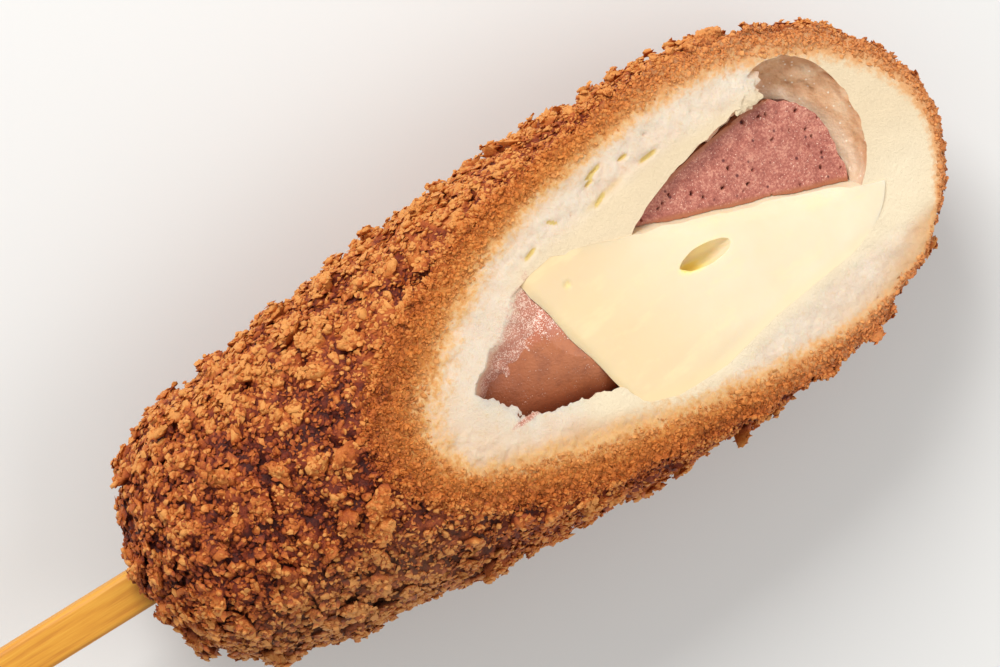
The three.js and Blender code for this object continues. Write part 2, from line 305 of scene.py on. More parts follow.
def unit(vectors):
    return vectors / np.maximum(np.linalg.norm(vectors, axis=-1), 1e-9)[..., None]


def ring_faces(index):
    """Four-sided faces between closed rings of points."""
    beside = np.roll(index, -1, axis=1)
    return np.stack([index[:-1], index[1:], beside[1:], beside[:-1]], axis=-1).reshape(-1, 4).tolist()


def round_form(name, rings, around, relief=None):
    """A closed round form along X. rings gives x, y, z and radius, with radius 0 at both
    ends. relief(points) says how far each point moves outward."""
    angle = np.arange(around) * 2 * math.pi / around
    side = columns(0, np.sin(angle), np.cos(angle))
    inner = rings[1:-1]
    points = (inner[:, None, :3] + inner[:, None, 3:] * side).reshape(-1, 3)
    points = np.vstack([points, rings[0, :3], rings[-1, :3]])
    if relief is not None:
        rise, run = (np.gradient(rings[:, i])[1:-1, None, None] for i in (3, 0))
        outward = unit(run * side + rise * (-1.0, 0, 0)).reshape(-1, 3)
        outward = np.vstack([outward, [[-1.0, 0, 0], [1.0, 0, 0]]])
        points = points + outward * relief(points)[:, None]
    index = np.arange(len(inner) * around).reshape(len(inner), around)
    first, last = index[0].tolist(), index[-1].tolist()
    faces = ring_faces(index)
    faces += [[index.size, a, b] for a, b in zip(first, first[1:] + first[:1])]
    faces += [[index.size + 1, b, a] for a, b in zip(last, last[1:] + last[:1])]
    return new_mesh(name, points, faces)


def eased(count):
    """Steps from 0 to 1 that are close together at both ends."""
    return (1 - np.cos(np.pi * np.linspace(0, 1, count + 1))) / 2


def ellipsoid(name, centre, radii, around, along, turn=0.0, tilt=0.0, relief=None):
    part = np.pi * np.linspace(0, 1, along + 1)
    ball = round_form(name, columns(-np.cos(part), 0, 0, np.sin(part)), around)
    points = mesh_points(ball)
    if relief is not None:
        points = points * (1 + relief(points))[:, None]
    turns = np.array(Matrix.Rotation(turn, 3, "Z") @ Matrix.Rotation(tilt, 3, "Y"))
    set_points(ball, (points * radii) @ turns.T + centre)
    return ball


def block_over(name, sheet, point, normal, height):
    """A block whose underside is a sheet of points and whose flat top is that sheet's border,
    moved along normal until it lies at a height over point."""
    index = np.arange(sheet[..., 0].size).reshape(sheet.shape[:2])
    under = np.stack([index[:-1, :-1], index[:-1, 1:], index[1:, 1:], index[1:, :-1]], axis=-1)
    border = np.concatenate([index[:, 0], index[-1, 1:], index[-2::-1, -1], index[0, -2:0:-1]])
    top = index.size + np.arange(len(border))
    walls = np.stack([border, np.roll(border, -1), np.roll(top, -1), top], axis=1)
    points = sheet.reshape(-1, 3)
    rise = height - (points[border] - point) @ normal
    points = np.vstack([points, points[border] + rise[:, None] * normal])
    return new_mesh(name, points, under.reshape(-1, 4).tolist() + walls.tolist() + [top.tolist()])


def block_beyond(name, point, normal):
    """Everything past a plane."""
    corners = BEYOND * np.array([[x, y, z] for x in (-1, 1) for y in (-1, 1) for z in (0, 2)])
    turns = np.array(Vector((0, 0, 1)).rotation_difference(Vector(normal)).to_matrix())
    faces = [[0, 1, 3, 2], [4, 6, 7, 5], [0, 4, 5, 1], [2, 3, 7, 6], [0, 2, 6, 4], [1, 5, 7, 3]]
    return new_mesh(name, corners @ turns.T + point, faces)


def from_cut(u, v, w):
    """Points given down the slope of the cut, across it and out of it, in the local frame."""
    cosine, sine = math.cos(CUT_ANGLE), math.sin(CUT_ANGLE)
    return columns(CUT_START[0] + cosine * u + sine * w, v, CUT_START[2] - sine * u + cosine * w)


def to_cut(points):
    x, y, z = (points - CUT_START).T
    cosine, sine = math.cos(CUT_ANGLE), math.sin(CUT_ANGLE)
    return columns(cosine * x - sine * z, y, sine * x + cosine * z)


def above_cut(name, cell, height_at):
    """Everything above the slanting cut, as a block whose underside follows height_at(u, v)."""
    steps_u, steps_v = int(CUT_LENGTH / cell), int(CUT_WIDTH / cell)
    u, v = np.meshgrid(CUT_BEFORE + CUT_LENGTH * np.linspace(0, 1, steps_u + 1),
                       CUT_WIDTH * np.linspace(-0.5, 0.5, steps_v + 1), indexing="ij")
    shape = (*u.shape, 3)
    u, v = u.ravel(), v.ravel()
    return block_over(name, from_cut(u, v, height_at(u, v)).reshape(shape), CUT_START, OUT_OF_CUT, 60)


def carve(base, operation, *cutters):
    """Joins or cuts base with each cutter. A cut face takes its cutter's material."""
    for cutter in cutters:
        modifier = base.modifiers.new("carve", "BOOLEAN")
        modifier.operation = operation
        modifier.solver = "MANIFOLD"
        modifier.material_mode = "TRANSFER"
        modifier.object = cutter
    base.data = bpy.data.meshes.new_from_object(base.evaluated_get(bpy.context.evaluated_depsgraph_get()))
    base.modifiers.clear()
    for cutter in cutters:
        bpy.data.objects.remove(cutter)


def drop_scraps(thing):
    """Keeps the largest connected part, and drops the scraps that cutting left."""
    form = bmesh.new()
    form.from_mesh(thing.data)
    left, parts = dict.fromkeys(form.verts), []
    while left:
        part = [left.popitem()[0]]
        for vertex in part:
            for edge in vertex.link_edges:
                near = edge.other_vert(vertex)
                if near in left:
                    del left[near]
                    part.append(near)
        parts.append(part)
    parts.sort(key=len)
    bmesh.ops.delete(form, geom=[vertex for part in parts[:-1] for vertex in part])
    form.to_mesh(thing.data)
    form.free()


def paint(thing, name):
    """Gives a piece or a cutter one material all over."""
    thing.data.materials.clear()
    thing.data.materials.append(MATERIALS[name])
    thing.data.polygons.foreach_set("material_index", [0] * len(thing.data.polygons))
    return thing


def store(thing, **numbers):
    """Numbers for each point, which the materials read by name."""
    for name, values in numbers.items():
        attribute = thing.data.attributes.new(name, "FLOAT", "POINT")
        attribute.data.foreach_set("value", np.ascontiguousarray(values, np.float32))


def finish_piece(thing, replaces, crease):
    """Lays a piece down in the row frame, hangs it on the body and hides the solids' part that it stands for.
    Edges sharper than crease, in degrees, stay sharp."""
    thing.data.name = thing.name
    set_points(thing, to_row(mesh_points(thing)))
    thing.data.polygons.foreach_set("use_smooth", [True] * len(thing.data.polygons))
    thing.data.set_sharp_from_angle(angle=math.radians(crease))
    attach(thing, "root")
    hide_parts(replaces)
    return thing


# ---- Forms shared by pieces and hollows ----
def even_stations(count):
    """X positions that are evenly spaced along the body's outline."""
    x = BODY_LENGTH * eased(OUTLINE_STEPS)
    length = np.concatenate([[0], np.cumsum(np.hypot(np.diff(x), np.diff(body_radius(x))))])
    return np.interp(np.linspace(0, length[-1], count + 1), length, x)


def body_slope(x):
    return (body_radius(x + SLOPE_STEP) - body_radius(x - SLOPE_STEP)) / (2 * SLOPE_STEP)


def body_surface(x, angle):
    """Points on the crust's mean outer surface, and the directions out of it."""
    radius, sine, cosine = body_radius(x), np.sin(angle), np.cos(angle)
    return columns(x, radius * sine, radius * cosine), unit(columns(-body_slope(x), sine, cosine))


def depth_in_body(points):
    """How far points lie under the smooth body that the crumbs stand on."""
    x, y, z = points.T
    return (body_radius(x) - CRUMB_STAND - np.hypot(y, z)) / np.hypot(1, body_slope(x))


def from_bottom(points):
    """The angle round from the bottom, in radians."""
    return np.arctan2(np.abs(points[:, 1]), -points[:, 2])


def off_centre(points, y, z):
    return np.hypot(points[:, 1] - y, points[:, 2] - z)


def calm(points):
    """0 along the bottom that the food rests on, and 1 all round the rest of it."""
    return smoothstep(from_bottom(points), 0, REST_FADE)


def crag_height(points):
    scaled = points / CRAG_SIZE
    relief = 0.65 * noise(scaled) + 0.35 * noise(2.1 * scaled + (9, 0, 0))
    return CRAG * relief * calm(points) - CRUMB_STAND


def filling_form(name, grow, start, end, shape_at, caps, around=80, along=90, relief=None):
    """A round form with domed ends, grown a little all round. shape_at(x) gives the y and z
    of its middle, and its radius."""
    x = start - grow + (end - start + 2 * grow) * eased(along)
    y, z, radius = shape_at(x)
    cap = cap_factor(x - start + grow, caps[0]) * cap_factor(end + grow - x, caps[1])
    return round_form(name, columns(x, y, z, (radius + grow) * cap), around, relief)


def lower_shape(x):
    part = np.clip((x - LOWER_START) / (CHEESE_FROM - LOWER_START), 0, 1)
    y, z = (near + (far - near) * part for near, far in (LOWER_Y, LOWER_Z))
    return y, z, SAUSAGE_RADIUS


def upper_shape(x):
    return UPPER_Y, UPPER_Z, SAUSAGE_RADIUS


def core_shape(x):
    return (np.interp(x, CORE_X, values) for values in (CORE_Y, CORE_Z, CORE_R))


def lower_form(name, grow, *mesh):
    return filling_form(name, grow, LOWER_START, LOWER_END, lower_shape, (SAUSAGE_CAP, 1), *mesh)


def upper_form(name, grow, *mesh):
    return filling_form(name, grow, UPPER_START, UPPER_END, upper_shape, (1, SAUSAGE_CAP), *mesh)


def core_form(name, grow, *mesh):
    caps = (CORE_START_CAP, CORE_END_CAP)
    return filling_form(name, grow, CORE_START, CORE_END, core_shape, caps, *mesh)


def seam_distance(points):
    """How far points lie past the seam between the lower sausage and the cheese."""
    return (points[:, 0] - CHEESE_FROM + CHEESE_SKEW * points[:, 1]) / math.hypot(1, CHEESE_SKEW)


def past_seam(point, normal, offset):
    """Everything past a slightly wavy seam beside the cheese."""
    along = unit(np.cross([0, 0, 1.0], normal))
    step = np.linspace(-45, 45, 151)
    a, b = np.meshgrid(step, step, indexing="ij")
    flat = point + a[..., None] * along + b[..., None] * np.cross(normal, along)
    place = flat.reshape(-1, 3)
    wave = 0.3 * noise(place / 4.3) + 0.12 * noise(place / 1.5)
    sheet = flat + (offset + wave).reshape(a.shape)[..., None] * normal
    return block_over("past_seam", sheet, point, normal, BEYOND)


def past_lower_seam(offset):
    return past_seam((CHEESE_FROM, 0, 0), LOWER_SEAM_NORMAL, offset)


def past_upper_seam(offset):
    return past_seam(UPPER_SEAM, UPPER_SEAM_NORMAL, offset)


def torn(u, v):
    """The slight roughness of the cut, the same as in the solids."""
    coarse, fine = (noise(columns((u - CUT_START[0]) / size, v / size, level))
                    for size, level in ((4.1, 3.5), (1.9, 8.5)))
    return CUT_ROUGHNESS * (0.6 * coarse + 0.4 * fine)


def stick_form(name, grow):
    half = (STICK_WIDTH / 2 + grow, STICK_THICKNESS / 2 + grow)
    corner = STICK_ROUNDING + grow
    section = []
    for quarter, (side_y, side_z) in enumerate(((1, 1), (1, -1), (-1, -1), (-1, 1))):
        for step in range(6):
            angle = math.radians(90 * quarter + 18 * step)
            section.append((side_y * (half[0] - corner) + corner * math.sin(angle),
                            side_z * (half[1] - corner) + corner * math.cos(angle)))
    stations = np.linspace(-STICK_OUTSIDE, STICK_INSIDE + grow, 60)
    points = [(x, y, z) for x in stations for y, z in section]
    index = np.arange(len(points)).reshape(len(stations), len(section))
    return new_mesh(name, points, ring_faces(index) + [index[0].tolist(), index[-1][::-1].tolist()])


# ---- The breaded dough ----
def knobs(points, size, seed):
    """Rounded knobs of uneven height between 0 and 1, parted by pits."""
    near, value = cells(points / size + seed)
    return np.maximum(0, 1 - (near / 0.72) ** 2) * (0.5 + 0.5 * value)


def crust_relief(points):
    fine = 1.1 * knobs(points, 2.8, 0) + 0.6 * knobs(points, 1.3, 31) - 0.75
    return crag_height(points) + fine * (0.3 + 0.7 * calm(points))


def rim_width(x, y):
    """How deep the browned band reaches between the crumbs and the white dough."""
    turn = np.arctan2(y / CUT_HALF_WIDTH, (x - CUT_MIDDLE) / CUT_HALF_LENGTH)
    return np.interp(np.degrees(turn), RIM_TURNS, RIM_WIDTHS, period=360)


def pore_depth(x, y):
    """The slits and pits that the pulled dough left open near the filling."""
    deepest = 0 * x
    for place_x, place_y, half_length, half_width, turn, depth in PORES:
        along = (x - place_x) * math.cos(turn) + (y - place_y) * math.sin(turn)
        across = (y - place_y) * math.cos(turn) - (x - place_x) * math.sin(turn)
        slit = np.exp(-(along / half_length) ** 4 - (across / half_width) ** 2)
        deepest = np.maximum(deepest, depth * slit)
    return deepest


def face_swell(u, v):
    """The cut's own waviness, which the dough and the cheese share."""
    return torn(u, v) + 0.25 * noise(columns(u, v, 0) / 7 + 3)


def depth_in_core(points):
    """How far points lie inside the outline that the filling takes up."""
    y, z, radius = core_shape(points[:, 0])
    return radius - off_centre(points, y, z)


def cut_face_height(u, v):
    """The cut dough: slightly torn, bubbly, with open pores, and rounded off at its rim."""
    flat, place = columns(u, v, 0), from_cut(u, v, 0)
    x, y, _ = place.T
    bubbles = 0.45 - cells(flat / 0.8 + 7)[0]
    near, value = cells(flat / (1.9, 1.3, 1.0) + 53)
    big = np.clip((value - 0.75) / 0.25, 0, 1)
    pits = 0.5 * big * (1 - smoothstep(near, 0.05, 0.12 + 0.2 * big))
    rim = np.clip(1 - depth_in_body(place) / rim_width(x, y), 0, 1.15)
    crumbly = (0.4 * knobs(flat, 1.3, 5) + 0.4 * knobs(flat, 0.7, 9)) * smoothstep(rim, 0.1, 0.6)
    coarse = 0.34 + 0.3 * smoothstep(-x - y, -74, -50)
    rough = (coarse * bubbles + 0.2 * noise(flat / 1.9) - pits) * smoothstep(-depth_in_core(place), 0.0, 3.0)
    return face_swell(u, v) + rough - pore_depth(x, y) + crumbly - 0.9 * rim ** 2


def window_tear(points):
    """The ragged, overhanging tear along the near side of the window over the lower sausage."""
    near, value = cells(points / 1.7)
    near_side = -points[:, 1]
    window = smoothstep(-seam_distance(points), -1.5, 0.5) * smoothstep(near_side, -2, 3)
    overhang = 0.9 + 1.3 * smoothstep(near_side, 6, 12)
    crumbly = 0.12 * noise(points / 1.1) + (0.5 - near) + (value - 0.5) * 0.5
    return window * (crumbly + 0.5 * (0.5 - cells(points / 0.9 + 5)[0]) - overhang)


def smear_thickness(points):
    """How thickly torn dough still sticks to the lower sausage, along the window's far edge."""
    x, y, z = points.T
    from_x, from_y = x - SMEAR_FROM[0], y - SMEAR_FROM[1]
    inward = from_x * SMEAR_ALONG[1] - from_y * SMEAR_ALONG[0]
    along = from_x * SMEAR_ALONG[0] + from_y * SMEAR_ALONG[1]
    ragged = inward + 0.5 * noise(points / 1.4) + 0.5 * noise(points / 3.1)
    width = SMEAR_WIDTH * (0.5 + 0.5 * smoothstep(along, 1, 8))
    part = np.clip(1 - ragged / width, 0, 1) ** 2.2 * smoothstep(z, 2, 7) * smoothstep(x, 46, 52)
    grains = 0.2 * noise(points / 0.9) + 0.25 * knobs(points, 0.9, 3)
    return (np.clip(cut_height(x) - z, 0, 5) + 0.8) * part - 0.3 + grains


def flared(points):
    """The hollow of the upper sausage opens a little wider at the cut, with a torn far side."""
    y = points[:, 1]
    rough = 0.15 * noise(points / 1.7) + 0.4 * smoothstep(y, 8, 12) * noise(points / 0.9)
    return 1.6 * smoothstep(y, 0, 8) * smoothstep(to_cut(points)[:, 2], -2.4, 0.2) + rough - shrunk(points)


def shrunk(points):
    """How much slimmer the upper sausage has become towards the near side of its end."""
    return 1.5 * smoothstep(points[:, 0], 103, 110) * smoothstep(-points[:, 1], -6, 1)


def stuck_to_sausage(points):
    """1 where the dough touches the lower sausage, fading out over a few millimetres."""
    x = points[:, 0]
    y, z, radius = lower_shape(x)
    stuck = (1 - smoothstep(off_centre(points, y, z) - radius, 0.2, 4.0)) * (1 - smoothstep(x, 68, 71))
    along, across = ((points[:, :2] - STRIP_AT) / STRIP_HALF).T
    return np.maximum(stuck, np.exp(-along ** 2 - across ** 2))


def store_browning_and_shade_places(thing, points):
    """Where points lie in the crust, which settles how brown they are and where shade is painted on them."""
    x, y, _ = points.T
    depth = depth_in_body(points)
    store(thing, depth=depth, rim=np.clip(depth / rim_width(x, y), -1, 4), below=below_cut(points),
          along=x / BODY_LENGTH, side=y / BODY_RADIUS)


def make_dough():
    stations = even_stations(round(OUTLINE_LENGTH / CRUST_CELL))
    body = columns(stations, 0, 0, body_radius(stations))
    around = round(2 * math.pi * BODY_RADIUS / CRUST_CELL)
    dough = paint(round_form("breaded_crust_and_dough", body, around, crust_relief), "crust")

    def bubbled(points):
        near, value = cells(points * 4)
        return 0.03 * noise(points * 3.1) + 0.05 * value * smoothstep(0.5 - near, 0, 0.3)

    core = core_form("core", GAP, 190, 160, window_tear)
    carve(core, "DIFFERENCE", past_upper_seam(-GAP - 0.1))
    upper = upper_form("upper_hollow", GAP, 140, 120, flared)
    carve(upper, "INTERSECT", past_upper_seam(-GAP - 0.3))
    bowl = ellipsoid("bowl", BOWL_CENTRE, BOWL_RADII, 120, 80, relief=bubbled)
    carve(bowl, "INTERSECT", past_upper_seam(-GAP - 0.2))
    lower = lower_form("lower_hollow", GAP)
    carve(lower, "DIFFERENCE", past_lower_seam(0.1))
    carve(dough, "DIFFERENCE", paint(core, "dough"), paint(lower, "dough"), paint(upper, "lining"),
          paint(bowl, "lining"), paint(stick_form("stick_hole", GAP), "crust"))
    flap = ellipsoid("flap", FLAP_CENTRE, FLAP_RADII, 70, 60, tilt=CUT_ANGLE,
                     relief=lambda points: 0.3 * noise(points * 2.7) + 0.2 * noise(points * 6.1))
    smear = lower_form("smear", 0.0, 160, 160, smear_thickness)
    carve(smear, "DIFFERENCE", past_lower_seam(-0.05), lower_form("inside", -0.05))
    carve(dough, "UNION", paint(flap, "dough"), paint(smear, "dough"))
    under = block_beyond("under", REST_POINT, (-math.sin(REST_TILT), 0, -math.cos(REST_TILT)))
    cut = above_cut("cut", CUT_CELL, cut_face_height)
    carve(dough, "DIFFERENCE", paint(cut, "dough"), paint(under, "crust"))
    drop_scraps(dough)

    points = mesh_points(dough)
    x, y, _ = points.T
    across = off_centre(points, UPPER_Y, UPPER_Z) / SAUSAGE_RADIUS
    past_end = np.maximum(0, x - UPPER_END + SAUSAGE_CAP) / SAUSAGE_CAP
    near_sausage = 1 - smoothstep(SAUSAGE_RADIUS * (np.hypot(across, past_end) - 1), 0.6, 3.0)
    store_browning_and_shade_places(dough, points)
    store(dough, pore=pore_depth(x, y), stain=stuck_to_sausage(points),
          creamy=smoothstep(depth_in_core(points), -3.0, 0.0) * smoothstep(x, 63, 69),
          pale=np.maximum(near_sausage, 0.1 * smoothstep(-y, -7, 0)),
          tone=0.1 + 0.25 * cells(points / 1.6)[1])
    return finish_piece(dough, "breaded_dough", crease=50)


# ---- The filling ----
def cheese_height(u, v):
    """The cheese stands a little proud, and runs down to the dough at its border."""
    flat, place = columns(u, v, 0), from_cut(u, v, 0)
    x, y, _ = place.T
    inside = smoothstep(depth_in_core(place), 0.0, 3.0)
    own = 0.2 * noise(flat / 11) + 0.1 * noise(flat / (7, 2.4, 1) + 5) + CHEESE_PROUD
    upper_lip = (UPPER_SEAM - place) @ UPPER_SEAM_NORMAL
    slump = 1.2 * np.exp(-np.maximum(upper_lip, 0) / 1.1) * smoothstep(x, 84, 89)
    slump *= 1 - smoothstep(x, 111, 114.5)
    slump += 0.5 * np.exp(-np.maximum(seam_distance(place), 0) / 0.5)
    level = face_swell(u, v) * (1 - 0.8 * inside) + own * inside - 0.03 - slump
    return level - pore_depth(x, y)


def make_cheese():
    cheese = core_form("cheese_block", 0.4, 96, 90)
    hollow = ellipsoid("hollow", HOLLOW_CENTRE, HOLLOW_RADII, 60, 44, HOLLOW_TURN, CUT_ANGLE - 0.4,
                       lambda points: 0.06 * noise(points * 2.5))
    carve(cheese, "INTERSECT", past_lower_seam(0))
    carve(cheese, "DIFFERENCE", past_upper_seam(-0.1), above_cut("level", 0.4, cheese_height), hollow)
    points = mesh_points(cheese)
    x, y, _ = points.T
    depth = depth_in_core(points)
    inside = np.linalg.norm((points - HOLLOW_CENTRE) / (np.array(HOLLOW_RADII) * 1.15), axis=1)
    yellow = (1 - smoothstep(inside, 0.8, 1.0)) * (1 - 0.8 * smoothstep(x, 88, 95))
    store(cheese, border=1 - smoothstep(depth, 0.2, 1.8), warm=1 - smoothstep(seam_distance(points), 3, 24),
          upper=(1 - smoothstep(depth, 0.5, 7)) * smoothstep(y, 1, 6),
          hollow=np.maximum(yellow, 1.2 * pore_depth(x, y)))
    finish_piece(paint(cheese, "cheese"), "cheese", crease=40)


def make_lower_sausage():
    def skin(points):
        x, y, z = points.T
        wet = moist(points) * (0.5 - cells(points / 0.8)[0])
        shoulder = 0.9 * smoothstep(-y, 3, 9) * smoothstep(z, 3, 8)
        wrinkles = 0.06 * noise(points / (7.0, 1.3, 1.3)) + 0.2 * noise(points / 3.5)
        return wrinkles + 0.25 * wet + shoulder * smoothstep(x, 50, 56)

    def moist(points):
        return smoothstep(points[:, 1] + 0.35 * (points[:, 0] - 60), 2.0, 6.0)

    sausage = lower_form("sausage_with_skin", 0.0, 120, 120, skin)
    trim = above_cut("trim", 0.5, torn)
    carve(sausage, "DIFFERENCE", past_lower_seam(-0.05), trim, stick_form("hole", GAP))
    points = mesh_points(sausage)
    # sink says how far the skin lies below the cut, which sets its painted shade.
    store(sausage, moist=moist(points), sink=cut_height(points[:, 0]) - points[:, 2])
    finish_piece(paint(sausage, "skin"), "sausage_lower", crease=40)


def meat_height(u, v):
    flat = columns(u, v, 0)
    near, value = cells(flat / 1.1 + 11 + 0.25 * noise(flat / 0.5)[:, None])
    pits = np.where(value > 0.6, 0.8 * (1 - smoothstep(near, 0.05, 0.1 + 0.8 * (value - 0.6))), 0)
    return -UPPER_RECESS + (torn(u, v) + 0.09 * noise(flat / 0.6) + 0.12 * noise(flat / 2.2) - pits)


def make_upper_sausage():
    def frayed(points):
        ragged = 0.3 * noise(points / 1.1) + 0.3 * noise(points / 2.6) + 0.1
        return smoothstep(points[:, 0], 103, 110) * ragged - shrunk(points)

    sausage = upper_form("sausage_cut", 0.0, 150, 110, frayed)
    carve(sausage, "INTERSECT", past_upper_seam(0))
    carve(sausage, "DIFFERENCE", above_cut("face", 0.25, meat_height))
    points = mesh_points(sausage)
    from_skin = SAUSAGE_RADIUS - off_centre(points, UPPER_Y, UPPER_Z)
    u, v, w = to_cut(points).T
    # pit says how far a point lies down in a pit of the face, which sets the painted shade there.
    store(sausage, edge=np.minimum(from_skin, (points - UPPER_SEAM) @ UPPER_SEAM_NORMAL),
          pit=smoothstep(torn(u, v) - UPPER_RECESS - w, 0.15, 0.5))
    finish_piece(paint(sausage, "meat"), "sausage_upper", crease=40)


# ---- Breadcrumbs ----
def icosphere(subdivisions):
    ball = bmesh.new()
    bmesh.ops.create_icosphere(ball, subdivisions=subdivisions, radius=1.0)
    points = np.array([vertex.co[:] for vertex in ball.verts])
    faces = np.array([[vertex.index for vertex in face.verts] for face in ball.faces])
    ball.free()
    return points, faces


def shard_shapes(kinds, subdivisions, seed, planes):
    """Broken, angular, slightly pitted unit forms."""
    points, faces = icosphere(subdivisions)
    draw = np.random.RandomState(seed)
    shapes = []
    for kind in range(kinds):
        form = points.copy()
        for _ in range(planes):
            normal = unit(draw.normal(size=3))
            form -= np.maximum(0, form @ normal - draw.uniform(0.35, 0.8))[:, None] * normal
        near, value = cells(form * 2.2 + 10 * kind)
        shapes.append(form * (1 + 0.2 * (value - near))[:, None])
    return np.array(shapes), faces


def chip_shapes(kinds, seed):
    """The smallest crumbs: eight-sided, with uneven corners."""
    draw = np.random.RandomState(seed)
    corners = np.vstack([np.eye(3), -np.eye(3)])
    faces = np.array([(0, 1, 2), (1, 3, 2), (3, 4, 2), (4, 0, 2), (1, 0, 5), (3, 1, 5), (4, 3, 5), (0, 4, 5)])
    return corners * draw.uniform(0.6, 1.2, (kinds, 6, 1)) + draw.uniform(-0.3, 0.3, (kinds, 6, 3)), faces


def turn_about(axis, angle):
    i, j = ((1, 2), (2, 0), (0, 1))[axis]
    turns = np.tile(np.eye(3), (len(angle), 1, 1))
    turns[:, i, i] = turns[:, j, j] = np.cos(angle)
    turns[:, i, j], turns[:, j, i] = -np.sin(angle), np.sin(angle)
    return turns


def upright(normals, spin, lean_x, lean_y):
    """Each crumb is spun about its own height, leaned, and stood on the surface under it."""
    lengthwise = np.array([1.0, 0.001, 0])
    along = unit(lengthwise - (normals @ lengthwise)[:, None] * normals)
    stand = np.stack([along, np.cross(normals, along), normals], axis=2)
    return stand @ turn_about(1, lean_y) @ turn_about(0, lean_x) @ turn_about(2, spin)


def tumbled(normals, lean, draw):
    spin = draw.uniform(0, 2 * math.pi, len(normals))
    return upright(normals, spin, *draw.uniform(-lean, lean, (2, len(normals))))


def picked(form, sizes, draw):
    """One of a form's shapes for each crumb, at the crumb's size, and the shapes' faces."""
    shapes, faces = FORMS[form]
    return shapes[draw.randint(len(shapes), size=len(sizes))] * sizes[:, None, :], faces


def surface_tree(things):
    """What crumbs can come to lie on."""
    points, faces, count = [], [], 0
    for thing in things:
        points += [vertex.co for vertex in thing.data.vertices]
        faces += [[count + i for i in face.vertices] for face in thing.data.polygons]
        count = len(points)
    return BVHTree.FromPolygons(points, faces)


def settle(points, directions, tree):
    """The places on the surface under points, looking in against the directions, and which
    of them lie within reach."""
    starts, aims = to_row(points + REACH * directions), turned(-directions)
    found = [tree.ray_cast(Vector(start), Vector(aim), 0.002 * REACH)[3] for start, aim in zip(starts, aims)]
    hit = np.array([distance is not None for distance in found])
    sunk = np.array([distance or 0 for distance in found]) * 1000 - REACH
    return points - directions * sunk[:, None], hit


def join_crumbs(name, ground, normals, turns, forms, faces, draw, trim=True, tones=(0.3, 0.8)):
    """One piece out of many crumbs, trimmed at the cut and at the surface the food rests on."""
    count, corners = forms.shape[:2]
    local = np.einsum("nij,nvj->nvi", turns, forms)
    points = (local + ground[:, None, :]).reshape(-1, 3)
    # height runs from a crumb's underside to its top, for the painted shade below.
    height = np.einsum("nvi,ni->nv", local, normals)
    height = height / np.abs(height).max(axis=1)[:, None]
    if trim:
        u, v, w = to_cut(points).T
        above = np.maximum(0, w - np.repeat(draw.uniform(-0.5, 0.15, count), corners))
        points = np.where(above[:, None] > 0, from_cut(u, v, w - 0.9 * above), points)
    up = TURN[2]
    over_floor = (points - REST_POINT) @ up
    points = points + np.maximum(0, 0.03 - over_floor)[:, None] * up
    step = np.arange(count)[:, None, None] * corners
    piece = paint(new_mesh(name, points, (faces[None] + step).reshape(-1, 3).tolist()), "crust")
    # Each crumb's random tone, plus painted shade: darker towards its underside and lighter towards its top.
    store(piece, tone=(draw.uniform(*tones, (count, 1)) + 0.25 * height).ravel())
    store_browning_and_shade_places(piece, points)
    return finish_piece(piece, "breaded_dough", crease=60)


def below_cut(points):
    return -to_cut(points)[:, 2]


def along_outline(part):
    """The x of a place that lies part of the way from the base end to the tip."""
    return np.interp(part, np.linspace(0, 1, OUTLINE_STEPS + 1), even_stations(OUTLINE_STEPS))


def crust_places(count, offset, draw):
    """Places spread evenly over the crust that the cut leaves, as x and angle."""
    number = np.arange(count) + offset
    x = along_outline((number * SPREAD_ALONG + draw.uniform(0, 0.02, count)) % 1)
    angle = 2 * math.pi * ((number * SPREAD_AROUND) % 1) + draw.uniform(-0.15, 0.15, count)
    points, normals = body_surface(x, angle)
    near_rim = smoothstep(below_cut(points - CRUMB_STAND * normals), -0.8, 0.2)
    off_floor = 0.4 + 0.6 * smoothstep(from_bottom(points), 0.5, 1.1)
    keep = draw.uniform(0, 1, count) < near_rim * off_floor * body_radius(x) / BODY_RADIUS
    keep &= (off_centre(points, 0, 0) > STICK_WIDTH / 2 + 1.5) | (x > BASE_CAP)
    return x[keep], angle[keep]


def scatter(tree, name, tried, most, seed, smallest, largest, form, tones, lean):
    """Crumbs of one kind all over the crust, coarser away from the cut."""
    draw = np.random.RandomState(SEED + seed)
    surface, normals = body_surface(*crust_places(tried, seed, draw))
    ground, hit = settle(surface, normals, tree)
    surface, normals, ground = (values[hit][:most] for values in (surface, normals, ground))
    coarse = 0.8 + 0.3 * smoothstep(below_cut(surface), 2, 16)
    sizes = smallest + np.subtract(largest, smallest) * draw.uniform(0, 1, (len(ground), 1)) ** 1.4
    sizes = sizes * draw.uniform(0.75, 1.25, sizes.shape) * coarse[:, None]
    ground = ground + normals * (draw.uniform(-0.2, 0.4, len(ground)) * sizes[:, 2])[:, None]
    turns = tumbled(normals, lean, draw)
    return join_crumbs(name, ground, normals, turns, *picked(form, sizes, draw), draw, tones=tones)


def scatter_rim(tree, name, tried, seed, smallest, largest, form):
    """Crumbs along the outer part of the browned band round the cut."""
    draw = np.random.RandomState(SEED + seed)
    u = draw.uniform(CUT_BEFORE, CUT_BEFORE + CUT_LENGTH, tried)
    v = draw.uniform(-CUT_WIDTH / 2, CUT_WIDTH / 2, tried)
    place = from_cut(u, v, 0)
    share = depth_in_body(place) / rim_width(place[:, 0], place[:, 1])
    keep = (share > -0.2) & (share < draw.uniform(0.45, 0.9, tried))
    place, share = place[keep], share[keep]
    ground, hit = settle(place, np.tile(OUT_OF_CUT, (len(place), 1)), tree)
    place, share, ground = place[hit], share[hit], ground[hit]
    outward = unit(place * (0.3, 1, 1) - (0.3 * CUT_MIDDLE, 0, 0))
    normals = unit(OUT_OF_CUT + outward * (0.9 - share)[:, None])
    sizes = smallest + np.subtract(largest, smallest) * draw.uniform(0, 1, (len(place), 3)) ** 1.5
    forms, faces = picked(form, sizes, draw)
    join_crumbs(name, ground, normals, tumbled(normals, 1, draw), forms, faces, draw, trim=False)


